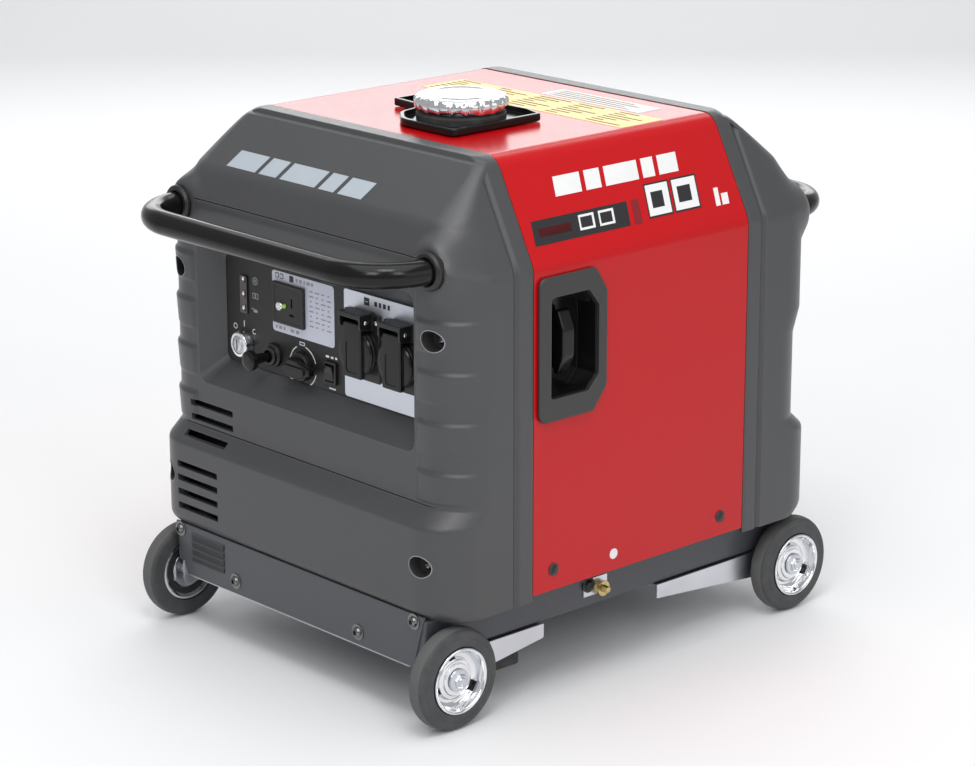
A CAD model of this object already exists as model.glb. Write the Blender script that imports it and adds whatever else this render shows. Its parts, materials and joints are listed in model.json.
import json
import math

import bmesh
import bpy
from mathutils import Matrix, Vector

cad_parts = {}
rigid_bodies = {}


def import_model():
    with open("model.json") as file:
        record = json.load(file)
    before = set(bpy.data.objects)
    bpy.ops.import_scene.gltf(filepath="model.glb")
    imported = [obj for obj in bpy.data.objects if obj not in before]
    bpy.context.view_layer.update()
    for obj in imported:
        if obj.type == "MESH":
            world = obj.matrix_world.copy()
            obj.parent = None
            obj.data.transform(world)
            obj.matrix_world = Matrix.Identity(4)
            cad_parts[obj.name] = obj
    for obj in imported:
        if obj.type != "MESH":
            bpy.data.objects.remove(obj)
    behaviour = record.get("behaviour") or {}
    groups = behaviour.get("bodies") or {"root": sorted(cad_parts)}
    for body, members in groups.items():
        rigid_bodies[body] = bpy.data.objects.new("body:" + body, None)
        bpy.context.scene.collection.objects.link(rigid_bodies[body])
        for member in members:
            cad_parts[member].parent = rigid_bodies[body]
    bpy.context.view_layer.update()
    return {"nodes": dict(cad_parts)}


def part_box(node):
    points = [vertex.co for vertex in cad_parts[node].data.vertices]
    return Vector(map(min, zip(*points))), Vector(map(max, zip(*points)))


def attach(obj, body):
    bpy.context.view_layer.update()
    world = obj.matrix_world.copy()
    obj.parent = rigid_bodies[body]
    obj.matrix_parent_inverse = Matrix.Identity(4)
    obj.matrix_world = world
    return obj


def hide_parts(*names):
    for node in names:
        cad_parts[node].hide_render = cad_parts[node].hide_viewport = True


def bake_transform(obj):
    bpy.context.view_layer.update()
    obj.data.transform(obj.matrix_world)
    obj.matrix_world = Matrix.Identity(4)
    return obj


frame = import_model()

partsBox = bpy.data.collections.new("generator")
toolsBox = bpy.data.collections.new("cutTools")
bpy.context.scene.collection.children.link(partsBox)
bpy.context.scene.collection.children.link(toolsBox)
print("frame loaded:", len(frame["nodes"]), "nodes")


# a socket that takes part in sums; plain numbers go in as they are
class Wire:
    def __init__(self, tree, socket):
        self.tree = tree
        self.socket = socket

    def math(self, kind, first, second=0.0):
        node = self.tree.nodes.new("ShaderNodeMath")
        node.operation = kind
        for place, value in enumerate((first, second)):
            if isinstance(value, Wire):
                self.tree.links.new(value.socket, node.inputs[place])
            else:
                node.inputs[place].default_value = value
        return Wire(self.tree, node.outputs[0])

    def __add__(self, other):
        return self.math("ADD", self, other)

    def __radd__(self, other):
        return self.math("ADD", other, self)

    def __sub__(self, other):
        return self.math("SUBTRACT", self, other)

    def __rsub__(self, other):
        return self.math("SUBTRACT", other, self)

    def __mul__(self, other):
        return self.math("MULTIPLY", self, other)

    def __rmul__(self, other):
        return self.math("MULTIPLY", other, self)

    def __gt__(self, other):
        return self.math("GREATER_THAN", self, other)

    def clamped(self):
        return self.math("MAXIMUM", self.math("MINIMUM", self, 1.0), 0.0)


# one material: a Principled shader and whatever feeds it
class Finish:
    def __init__(self, name, colour, rough, metal=0.0, **constants):
        self.material = bpy.data.materials.new(name)
        self.material.use_nodes = True
        self.tree = self.material.node_tree
        self.shader = self.tree.nodes["Principled BSDF"]
        self.colour = (*colour, 1.0)
        self.feed("Base Color", self.colour)
        self.feed("Roughness", rough)
        self.feed("Metallic", metal)
        for word, value in constants.items():
            self.feed(word.replace("_", " ").title().replace("Ior", "IOR"), value)

    def feed(self, socketName, value):
        self.connect(self.shader.inputs[socketName], value)

    def connect(self, socket, value):
        if isinstance(value, Wire):
            self.tree.links.new(value.socket, socket)
        else:
            socket.default_value = value

    # any node: its type, its settings first, then the values or links of its sockets
    def node(self, kind, settings=None, values=None, output=0):
        made = self.tree.nodes.new("ShaderNode" + kind)
        for word, value in (settings or {}).items():
            if word == "stops":
                while len(made.color_ramp.elements) < len(value):
                    made.color_ramp.elements.new(0.5)
                for stop, (position, colour) in zip(made.color_ramp.elements, value):
                    stop.position = position
                    stop.color = colour
            else:
                setattr(made, word, value)
        for word, value in (values or {}).items():
            self.connect(made.inputs[word], value)
        return Wire(self.tree, made.outputs[output])

    def here(self):
        return self.node("TexCoord", output="Object")

    def noise(self, scale, detail=3.0, stretch=None):
        place = self.here()
        if stretch:
            place = self.node("VectorMath", {"operation": "MULTIPLY"}, {0: place, 1: stretch})
        return self.node("TexNoise", None, {"Vector": place, "Scale": scale, "Detail": detail})

    def mix(self, amount, first, second):
        return self.node("Mix", {"data_type": "RGBA"}, {0: amount, 6: first, 7: second}, output=2)

    # rounds hard edges in the shading, then adds fine relief; returns how strongly an edge shows
    def surface(self, edge, relief=None, depth=0.0002, strength=0.3):
        soft = self.node("Bevel", {"samples": 4}, {"Radius": edge})
        flat = self.node("NewGeometry", output="Normal")
        facing = self.node("VectorMath", {"operation": "DOT_PRODUCT"}, {0: soft, 1: flat}, output="Value")
        normal = soft
        if relief is not None:
            normal = self.node("Bump", None, {"Strength": strength, "Distance": depth, "Height": relief,
                                              "Normal": soft})
        self.feed("Normal", normal)
        return ((1.0 - facing) * 12.0).clamped()

    # colour that drifts a little over the surface and lightens where edges have rubbed
    def worn(self, edge, patchScale, drift, rub):
        patches = self.noise(patchScale, 4.0)
        shade = self.mix(patches, tuple(c * (1 - drift) for c in self.colour[:3]) + (1,),
                         tuple(min(c * (1 + drift), 1.0) for c in self.colour[:3]) + (1,))
        self.feed("Base Color", self.mix(edge * rub, shade, (0.42, 0.43, 0.45, 1.0)))
        return patches


def mouldedPlastic(name, colour, rough, grain=0.35):
    made = Finish(name, colour, rough)
    fine = made.noise(1500.0, 2.0)
    edge = made.surface(0.0009, fine, 0.00025, grain)
    patches = made.worn(edge, 9.0, 0.07, 0.16)
    made.feed("Roughness", rough - 0.05 + patches * 0.10 + fine * 0.04)
    return made.material


def glossCoat(name, colour, rough, coat, peel=0.05, rub=0.05, metal=0.0, gleam=0.5):
    made = Finish(name, colour, rough, metal, coat_weight=coat, coat_roughness=0.06, specular_ior_level=gleam)
    orange = made.noise(420.0, 1.0)
    edge = made.surface(0.0007, orange, 0.0002, peel)
    patches = made.worn(edge, 5.0, 0.035, rub)
    smears = made.noise(38.0, 5.0, (1.0, 1.0, 0.35))
    made.feed("Roughness", rough - 0.03 + patches * 0.05 + smears * 0.05)
    return made.material


def metalSkin(name, colour, rough, brush=(1.0, 1.0, 1.0), stain=0.12, edge=0.0006, relief=0.08):
    made = Finish(name, colour, rough, 1.0)
    lines = made.noise(260.0, 4.0, brush)
    rim = made.surface(edge, lines, 0.0002, relief)
    clouds = made.worn(rim, 22.0, stain, 0.10)
    made.feed("Roughness", rough - 0.06 + lines * 0.10 + clouds * 0.08)
    return made.material


def tyreRubber(name, colour, rough):
    made = Finish(name, colour, rough)
    grain = made.noise(900.0, 4.0)
    edge = made.surface(0.0008, grain, 0.0004, 0.5)
    dust = made.noise(60.0, 6.0)
    dusty = made.mix((dust - 0.42).clamped() * 1.2, made.colour, (0.11, 0.11, 0.11, 1.0))
    made.feed("Base Color", made.mix(edge * 0.25, dusty, (0.14, 0.14, 0.145, 1.0)))
    made.feed("Roughness", rough - 0.08 + dust * 0.16)
    return made.material


def printed(name, colour, rough=0.45):
    made = Finish(name, colour, rough)
    speck = made.noise(700.0, 3.0)
    edge = made.surface(0.0002, speck, 0.0001, 0.08)
    made.worn(edge, 60.0, 0.05, 0.0)
    made.feed("Roughness", rough - 0.05 + speck * 0.1)
    return made.material


looks = {
    "plastic": mouldedPlastic("greyMoulding", (0.060, 0.061, 0.064), 0.31, 0.60),
    "frame": mouldedPlastic("darkMoulding", (0.032, 0.032, 0.031), 0.36, 0.30),
    "panelBlack": mouldedPlastic("panelBlack", (0.014, 0.014, 0.015), 0.46, 0.22),
    "satinBlack": mouldedPlastic("satinBlack", (0.008, 0.008, 0.009), 0.36, 0.10),
    "glossBlack": glossCoat("glossBlack", (0.006, 0.006, 0.006), 0.16, 0.0, 0.03, 0.02, 0.0, 0.35),
    "handlePaint": glossCoat("handlePaint", (0.005, 0.005, 0.005), 0.16, 0.0, 0.06, 0.02, 0.0, 0.30),
    "redPaint": glossCoat("redPaint", (0.50, 0.003, 0.006), 0.20, 0.0, 0.05, 0.01, 0.0, 0.36),
    "basePaint": glossCoat("basePaint", (0.060, 0.064, 0.074), 0.42, 0.15, 0.10, 0.10),
    "chrome": metalSkin("chrome", (0.84, 0.85, 0.87), 0.10, stain=0.03, edge=0.0008, relief=0.02),
    "zinc": metalSkin("zincPlate", (0.66, 0.68, 0.72), 0.30, (1.0, 0.15, 1.0), 0.14),
    "brass": metalSkin("brassFitting", (0.62, 0.47, 0.20), 0.28, stain=0.14),
    "darkSteel": metalSkin("darkSteel", (0.10, 0.10, 0.105), 0.42, stain=0.20),
    "bolt": metalSkin("boltSteel", (0.20, 0.20, 0.20), 0.20, stain=0.25, edge=0.0003),
    "cast": metalSkin("castAlloy", (0.40, 0.40, 0.41), 0.52, stain=0.16, relief=0.5),
    "rubber": tyreRubber("blackRubber", (0.020, 0.020, 0.021), 0.70),
    "tyre": tyreRubber("tyreRubber", (0.048, 0.049, 0.052), 0.58),
    "tread": tyreRubber("tyreTread", (0.105, 0.108, 0.105), 0.80),
    "plate": metalSkin("silverPlate", (0.74, 0.77, 0.84), 0.42, (1.0, 1.0, 0.2), 0.04, 0.0003, 0.03),
    "label": printed("paleLabel", (0.62, 0.64, 0.74), 0.38),
    "ink": printed("blackInk", (0.016, 0.016, 0.018)),
    "white": printed("whitePrint", (0.80, 0.80, 0.80), 0.35),
    "grey": printed("greyPrint", (0.30, 0.31, 0.34), 0.4),
    "silver": printed("silverPrint", (0.42, 0.47, 0.52), 0.35),
    "yellow": printed("yellowPrint", (0.80, 0.62, 0.20), 0.4),
    "tan": printed("tanPrint", (0.46, 0.33, 0.24), 0.4),
    "deepRed": printed("deepRedPrint", (0.22, 0.008, 0.012), 0.35),
    "green": printed("greenPrint", (0.35, 0.62, 0.05), 0.3),
    "lens": glossCoat("lampLens", (0.03, 0.012, 0.012), 0.14, 0.6),
    "cord": printed("starterCord", (0.50, 0.49, 0.45), 0.85),
}
print("materials made:", len(looks))


# ---- shaping ----
def tool(name, mesh):
    made = bpy.data.objects.new(name, mesh)
    toolsBox.objects.link(made)
    made.hide_render = True
    return made


# a finished piece: material, body it rides on, CAD nodes it stands for
def piece(made, look, body="housing", stands=(), angle=35.0):
    for box in (toolsBox, partsBox):
        if made.name in box.objects:
            box.objects.unlink(made)
    partsBox.objects.link(made)
    made.hide_render = False
    made.data.materials.clear()
    made.data.materials.append(looks[look])
    if made.type == "MESH":
        made.data.shade_smooth()
        made.data.set_sharp_from_angle(angle=math.radians(angle))
        even = made.modifiers.new("evenShading", "WEIGHTED_NORMAL")
        even.keep_sharp = True
    if body is not None:
        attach(made, body)
    if stands:
        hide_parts(*stands)
    return made


def meshOf(name, work):
    bmesh.ops.recalc_face_normals(work, faces=work.faces)
    mesh = bpy.data.meshes.new(name)
    work.to_mesh(mesh)
    work.free()
    return tool(name, mesh)


# modifiers and transforms go into the mesh
def settle(made):
    bpy.context.view_layer.update()
    graph = bpy.context.evaluated_depsgraph_get()
    mesh = bpy.data.meshes.new_from_object(made.evaluated_get(graph))
    mesh.transform(made.matrix_world)
    name = made.name
    bpy.data.objects.remove(made, do_unlink=True)
    work = bmesh.new()
    work.from_mesh(mesh)
    bmesh.ops.remove_doubles(work, verts=work.verts, dist=0.000005)
    bmesh.ops.dissolve_degenerate(work, edges=work.edges, dist=0.000005)
    work.to_mesh(mesh)
    work.free()
    mesh.name = name
    return tool(name, mesh)


def cut(target, others, kind="DIFFERENCE"):
    for other in others:
        step = target.modifiers.new("cut", "BOOLEAN")
        step.operation = kind
        step.solver = "EXACT"
        step.object = other
    made = settle(target)
    for other in others:
        bpy.data.objects.remove(other, do_unlink=True)
    return made


def block(name, low, high, bevel=0.0, segments=3):
    low = Vector(low)
    high = Vector(high)
    work = bmesh.new()
    bmesh.ops.create_cube(work, size=1.0, matrix=Matrix.Translation((low + high) / 2)
                          @ Matrix.Diagonal((*(high - low), 1.0)))
    made = meshOf(name, work)
    if bevel > 0.0:
        soften(made, bevel, segments)
        made = settle(made)
    return made


def soften(made, width, segments=3, angle=30.0):
    rounding = made.modifiers.new("rounding", "BEVEL")
    rounding.width = width
    rounding.segments = segments
    rounding.limit_method = "ANGLE"
    rounding.angle_limit = math.radians(angle)


# block whose front and back rectangles (x0, z0, x1, z1) differ
def wedge(name, yFront, front, yBack, back):
    work = bmesh.new()
    bmesh.ops.create_cube(work, size=1.0)
    for vert in work.verts:
        x0, z0, x1, z1 = front if vert.co.y < 0 else back
        vert.co = (x0 if vert.co.x < 0 else x1, yFront if vert.co.y < 0 else yBack, z0 if vert.co.z < 0 else z1)
    return meshOf(name, work)


# outline through (u, v, radius) corners, with arcs where the radius isn't zero
def rounded(corners, steps=6):
    outline = []
    for index, (u, v, radius) in enumerate(corners):
        corner = Vector((u, v))
        if radius <= 0.0:
            outline.append(corner)
            continue
        before = (Vector(corners[index - 1][:2]) - corner).normalized()
        after = (Vector(corners[(index + 1) % len(corners)][:2]) - corner).normalized()
        half = before.angle(after) / 2
        start = corner + before * (radius / math.tan(half))
        centre = corner + (before + after).normalized() * (radius / math.sin(half))
        sweep = (start - centre).angle_signed(corner + after * (radius / math.tan(half)) - centre)
        for step in range(steps + 1):
            spoke = (start - centre).copy()
            spoke.rotate(Matrix.Rotation(-sweep * step / steps, 2))
            outline.append(centre + spoke)
    return outline


def inset(corners, distance):
    count = len(corners)
    area = sum(corners[i][0] * corners[(i + 1) % count][1] - corners[(i + 1) % count][0] * corners[i][1]
               for i in range(count))
    turn = 1.0 if area > 0 else -1.0
    moved = []
    for index, (u, v, radius) in enumerate(corners):
        here = Vector((u, v))
        into = (here - Vector(corners[index - 1][:2])).normalized()
        away = (Vector(corners[(index + 1) % count][:2]) - here).normalized()
        normalIn = Vector((-into.y, into.x)) * turn
        normalOut = Vector((-away.y, away.x)) * turn
        shift = (normalIn + normalOut) * (distance / (1.0 + normalIn.dot(normalOut)))
        convex = (into.x * away.y - into.y * away.x) * turn > 0
        moved.append((u + shift.x, v + shift.y, max(radius - distance, 0.0) if convex else radius + distance))
    return moved


def slab(name, outline, low, high, plane, bevel=0.0, segments=2):
    work = bmesh.new()
    lower = [work.verts.new((u, v, low)) for u, v in outline]
    upper = [work.verts.new((u, v, high)) for u, v in outline]
    work.faces.new(lower)
    work.faces.new(upper)
    count = len(outline)
    for index in range(count):
        after = (index + 1) % count
        work.faces.new((lower[index], lower[after], upper[after], upper[index]))
    turn = {"XY": Matrix.Identity(3), "XZ": Matrix(((1, 0, 0), (0, 0, 1), (0, 1, 0))),
            "YZ": Matrix(((0, 0, 1), (1, 0, 0), (0, 1, 0)))}[plane]
    for vert in work.verts:
        vert.co = turn @ vert.co
    made = meshOf(name, work)
    if bevel > 0.0:
        soften(made, bevel, segments)
        made = settle(made)
    return made


def pill(name, centre, width, height, low, high, plane, radius=None, bevel=0.0):
    u, v = centre
    corner = min(width, height) * 0.4999 if radius is None else radius
    return slab(name, rounded([(u - width / 2, v - height / 2, corner), (u + width / 2, v - height / 2, corner),
                               (u + width / 2, v + height / 2, corner), (u - width / 2, v + height / 2, corner)], 5),
                low, high, plane, bevel)


# turned piece: (radius, height) points, closed into a ring or running to the axis
def turned(name, profile, centre, axis, steps=48, ring=False):
    axis = Vector(axis).normalized()
    side = axis.orthogonal().normalized()
    other = axis.cross(side)
    work = bmesh.new()
    loops = []
    for radius, height in profile:
        middle = Vector(centre) + axis * height
        if radius <= 0.0:
            loops.append([work.verts.new(middle)])
            continue
        loops.append([work.verts.new(middle + (side * math.cos(a) + other * math.sin(a)) * radius)
                      for a in (2 * math.pi * k / steps for k in range(steps))])
    pairs = list(zip(loops, loops[1:])) + ([(loops[-1], loops[0])] if ring else [])
    for first, second in pairs:
        for k in range(steps):
            after = (k + 1) % steps
            corners = [first[k % len(first)], second[k % len(second)],
                       second[after % len(second)], first[after % len(first)]]
            corners = [v for i, v in enumerate(corners) if v not in corners[:i]]
            if len(corners) > 2:
                work.faces.new(corners)
    return meshOf(name, work)


def rod(name, centre, radius, length, axis, steps=32, bevel=0.0):
    half = length / 2
    profile = [(0.0, half), (radius, half), (radius, -half), (0.0, -half)]
    if bevel > 0.0:
        profile = [(0.0, half), (radius - bevel, half), (radius - bevel * 0.3, half - bevel * 0.3),
                   (radius, half - bevel), (radius, bevel - half), (radius - bevel * 0.3, bevel * 0.3 - half),
                   (radius - bevel, -half), (0.0, -half)]
    return turned(name, profile, centre, axis, steps)


def pipe(name, points, radius, cyclic=False, resolution=8, smooth=False):
    curve = bpy.data.curves.new(name, "CURVE")
    curve.dimensions = "3D"
    curve.bevel_depth = radius
    curve.bevel_resolution = resolution
    curve.use_fill_caps = not cyclic
    spline = curve.splines.new("NURBS" if smooth else "POLY")
    spline.points.add(len(points) - 1)
    for point, place in zip(spline.points, points):
        point.co = (*place, 1.0)
    spline.use_cyclic_u = cyclic
    if smooth:
        spline.use_endpoint_u = True
        spline.order_u = 4
    made = bpy.data.objects.new(name, curve)
    toolsBox.objects.link(made)
    return settle(made)


def merged(name, others):
    work = bmesh.new()
    for other in others:
        work.from_mesh(other.data)
        bpy.data.objects.remove(other, do_unlink=True)
    mesh = bpy.data.meshes.new(name)
    work.to_mesh(mesh)
    work.free()
    return tool(name, mesh)


def smoothStep(low, high, value):
    t = min(max((value - low) / (high - low), 0.0), 1.0)
    return t * t * (3.0 - 2.0 * t)


# dome-headed screw with a cross or socket recess
def screwHead(name, centre, axis, radius, height, recess="cross", washer=0.0):
    axis = Vector(axis).normalized()
    centre = Vector(centre)
    profile = [(0.0, height), (radius * 0.45, height * 0.96), (radius * 0.8, height * 0.72),
               (radius, height * 0.3), (radius, 0.0), (0.0, 0.0)]
    head = turned(name, profile, centre, axis, 32)
    side = axis.orthogonal().normalized()
    other = axis.cross(side)
    if recess == "cross":
        arms = []
        for along, across in ((side, other), (other, side)):
            arm = block(name + "Arm", (-radius * 0.55, -radius * 0.11, -height * 0.6),
                        (radius * 0.55, radius * 0.11, height * 0.6))
            spin = Matrix((along, across, axis)).transposed().to_4x4()
            arm.matrix_world = Matrix.Translation(centre + axis * height) @ spin
            arms.append(settle(arm))
        head = cut(head, arms)
    elif recess == "socket":
        well = turned(name + "Well", [(0.0, height * 1.5), (radius * 0.48, height * 1.5), (radius * 0.48, height * 0.35),
                                      (0.0, height * 0.35)], centre, axis, 6)
        head = cut(head, [well])
    if washer > 0.0:
        disc = turned(name + "Washer", [(radius * 0.6, 0.0008), (washer, 0.0008), (washer, -0.0002),
                                        (radius * 0.6, -0.0002)], centre, axis, 32, ring=True)
        head = merged(name, [head, disc])
    return head


# ---- housing ----
housing = {
    "halfWidth": 0.2215, "kinkZ": 0.430, "shoulderX": 0.1705, "roofZ": 0.5285, "kinkRadius": 0.030,
    "shoulderRadius": 0.022, "coverZ": 0.107, "shellZ": 0.1115, "seamY": 0.1453, "faceY": 0.240,
    "bumperY": 0.2573, "bulge": 0.009, "cornerRadius": 0.043, "wall": 0.004, "gap": 0.0010,
    "rimEndY": 0.1632, "grooveDepth": 0.0030, "partingLow": 0.2135, "partingHigh": 0.447, "surroundX": 0.1645,
}
pads = {"tops": (0.393, 0.345, 0.297, 0.249), "height": 0.031, "rise": 0.0030}
handle = {
    "x": 0.186, "frontZ": 0.4386, "rearZ": 0.419, "radius": 0.0122, "reach": 0.3040, "root": 0.215,
    "collarRadius": 0.0182, "bossRadius": 0.0200,
}
wells = {"upper": (0.187, 0.373), "lower": (0.186, 0.160), "across": 0.0126, "tall": 0.0098,
         "depth": 0.0120}


def hoopCorners():
    right = [(housing["halfWidth"], housing["coverZ"] - 0.02, 0.0),
             (housing["halfWidth"], housing["kinkZ"], housing["kinkRadius"]),
             (housing["shoulderX"], housing["roofZ"], housing["shoulderRadius"])]
    return right + [(-u, v, r) for u, v, r in reversed(right)]


hoopRight = [p for p in rounded(hoopCorners(), 12) if p.x > 0]


# half width of the housing at a height
def hoopX(z):
    for low, high in zip(hoopRight, hoopRight[1:]):
        if low.y <= z <= high.y:
            share = (z - low.y) / max(high.y - low.y, 1e-9)
            return low.x + (high.x - low.x) * share
    return hoopRight[-1].x if z > hoopRight[-1].y else hoopRight[0].x


# side view of a cover from the roof down, as distance from the middle and height
def coverProfile(bulge):
    face = housing["faceY"]
    corners = [(0.1400, housing["roofZ"], 0.0), (0.1634, housing["roofZ"], 0.0012), (0.1652, 0.5236, 0.001),
               (0.1690, 0.5222, 0.0015), (0.2255, 0.4765, 0.024), (face + bulge, 0.4420, 0.024)]
    if bulge > 0.0:
        corners += [(face + bulge, 0.325, 0.012), (face, 0.300, 0.012)]
    corners += [(face, 0.2125, 0.004), (housing["bumperY"], 0.1975, 0.007), (housing["bumperY"], 0.1150, 0.012),
                (0.2480, housing["coverZ"], 0.0)]
    points = rounded(corners + [(0.14, housing["coverZ"], 0.0)], 7)[1:-1]
    dense = [points[0]]
    for before, after in zip(points, points[1:]):
        steps = max(1, math.ceil((after - before).length / 0.0014))
        dense += [before + (after - before) * ((k + 1) / steps) for k in range(steps)]
    return dense


# lifts the cover's skin where the pillars carry pads and around the handle ends
def relief(point, side, handleZ, withPads):
    x, y, z = point
    depth = side * y
    face = housing["faceY"]
    if withPads:
        across = smoothStep(housing["surroundX"], 0.1705, abs(x)) * smoothStep(face - 0.036, face - 0.016, depth)
        lift = 0.0
        for top in pads["tops"]:
            share = (top - z) / pads["height"]
            if 0.0 < share < 1.04:
                lift = pads["rise"] * smoothStep(0.0, 0.13, share) * (1.0 - 0.7 * share)
                lift *= 1.0 - smoothStep(0.97, 1.04, share)
        outward = Vector((math.copysign(1.0, x) * (1.0 - smoothStep(face - 0.03, face - 0.0005, depth)), side, 0.0))
        point = point + outward.normalized() * lift * across
    ring = math.hypot(abs(point.x) - handle["x"], point.z - handleZ)
    hold = 1.0 - smoothStep(handle["bossRadius"], handle["bossRadius"] + 0.016, ring)
    hold *= smoothStep(face - 0.040, face - 0.012, depth)
    wanted = face + (housing["bulge"] if side > 0 else 0.0)
    if hold > 0.0 and side * point.y < wanted:
        point = Vector((point.x, point.y + side * (wanted - side * point.y) * hold, point.z))
    return point


# depth of the valley beside the raised rim, and of the small step at the seam
def rimGroove(y):
    if y < 0.1458:
        return 0.0006
    share = (y - 0.1622) / 0.0088
    return housing["grooveDepth"] * math.sin(math.pi * share) ** 1.5 if 0.0 < share < 1.0 else 0.0


# a cover as nested U-shaped courses from the roof rim down to the lower edge, with an inner skin
def coverSolid(name, side, bulge, handleZ, withPads):
    seam, face, wall = housing["seamY"], housing["faceY"] + bulge, housing["wall"]
    shrink = Vector((1 - wall / housing["halfWidth"], 1 - wall / (face - seam),
                     1 - wall / (housing["roofZ"] - housing["coverZ"])))
    sideYs = [seam, 0.1457, 0.1466, 0.1500, 0.1560, 0.1605, 0.1622, housing["rimEndY"], 0.1640, 0.1650,
              0.1662, 0.1672, 0.1682, 0.1692, 0.1710, 0.1760, 0.1830, 0.1900]
    frontXs = (0.1760, 0.1720, 0.1690, 0.1660, housing["surroundX"], 0.1600, 0.150, 0.135, 0.12, 0.10, 0.08, 0.06,
               0.04, 0.02)
    outer, inner = [], []
    for depth, z in coverProfile(bulge):
        half = hoopX(z)
        lean = smoothStep(0.445, 0.5285, z)
        radius = min(housing["cornerRadius"] * (1.0 - lean) + 0.010 * lean, max(depth - 0.150, 0.002))
        right = []
        for y in sideYs:
            kept = min(y, depth - radius)
            right.append((half, kept, rimGroove(kept)))
        for step in range(15):
            angle = math.radians(90) * step / 14
            right.append((half - radius * (1 - math.cos(angle)), depth - radius * (1 - math.sin(angle)), 0.0))
        right += [(min(x, half - radius), depth, 0.0) for x in frontXs]
        outline = right + [(0.0, depth, 0.0)] + [(-x, y, groove) for x, y, groove in reversed(right)]
        skin, lining = [], []
        for x, y, groove in outline:
            skin.append(relief(Vector((x - math.copysign(groove, x), side * y, z)), side, handleZ, withPads))
            lining.append(Vector((x * shrink.x, side * (seam + (y - seam) * shrink.y),
                                  housing["coverZ"] + (z - housing["coverZ"]) * shrink.z)))
        outer.append(skin)
        inner.append(lining)
    work = bmesh.new()
    for courses in (outer, inner):
        courses[:] = [[work.verts.new(point) for point in course] for course in courses]
        for upper, lower in zip(courses, courses[1:]):
            for k in range(len(upper) - 1):
                work.faces.new((upper[k], upper[k + 1], lower[k + 1], lower[k]))
        work.faces.new(courses[0])
    for upper, lower, upperIn, lowerIn in zip(outer, outer[1:], inner, inner[1:]):
        for end in (0, -1):
            work.faces.new((upper[end], lower[end], lowerIn[end], upperIn[end]))
    work.faces.new((outer[0][0], outer[0][-1], inner[0][-1], inner[0][0]))
    for k in range(len(outer[-1]) - 1):
        work.faces.new((outer[-1][k], outer[-1][k + 1], inner[-1][k + 1], inner[-1][k]))
    bmesh.ops.remove_doubles(work, verts=work.verts, dist=0.00001)
    bmesh.ops.dissolve_degenerate(work, edges=work.edges, dist=0.00001)
    return meshOf(name, work)


def copyOf(source, name):
    return tool(name, source.data.copy())


def wellSpots(upperFace):
    spots = []
    for (x, z), face in ((wells["upper"], upperFace), (wells["lower"], housing["bumperY"])):
        spots += [(-x - (0.005 if face < 0.25 else 0.012), z, face), (x, z, face)]
    return spots


def wellRing(x, z, grow, steps=44):
    turns = [math.radians(360) * k / steps for k in range(steps)]
    return [(x + (wells["across"] + grow) * math.cos(a), z + (wells["tall"] + grow) * math.sin(a)) for a in turns]


def wellBore(spot, side):
    x, z, face = spot
    ends = sorted((side * (face - 0.026), side * (face + 0.02)))
    return slab("bore", wellRing(x, z, 0.0004), ends[0], ends[1], "XZ")


# cup whose lip follows the rounded corner, with a floor and the screw in it
def wellLiner(name, spot, side, handleZ, withPads):
    x, z, face = spot
    radius = housing["cornerRadius"]
    deep = wells["depth"] + 0.8 * (abs(x) - wells["lower"][0])
    work = bmesh.new()
    rows = []
    for grow, proud, onSkin in ((0.0012, -0.0008, True), (0.0010, 0.0003, True), (0.0002, 0.0004, True),
                                (-0.0004, -0.0006, True), (-0.0014, 0.0, False)):
        row = []
        for u, v in wellRing(x, z, grow):
            over = max(abs(u) - (housing["halfWidth"] - radius), 0.0)
            depth = face - radius + math.sqrt(radius ** 2 - over ** 2)
            point = relief(Vector((u, side * depth, v)), side, handleZ, withPads)
            along = side * point.y + proud if onSkin else face - deep
            row.append(work.verts.new((point.x if onSkin else u, side * along, v)))
        rows.append(row)
    for first, second in zip(rows, rows[1:]):
        for k in range(len(first)):
            after = (k + 1) % len(first)
            work.faces.new((first[k], first[after], second[after], second[k]))
    work.faces.new(rows[-1])
    cup = meshOf(name, work)
    piece(cup, "frame")
    cup.data.materials.append(looks["grey"])
    around = len(wellRing(x, z, 0.0))
    for skin in cup.data.polygons:
        skin.material_index = 1 if around <= skin.index < 2 * around else 0
    spot = (x + math.copysign(0.0030, x), side * (face - deep), z)
    piece(screwHead(name + "Screw", spot, (0, side, 0), 0.0046, 0.0050, "cross", 0.0070), "bolt")


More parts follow.
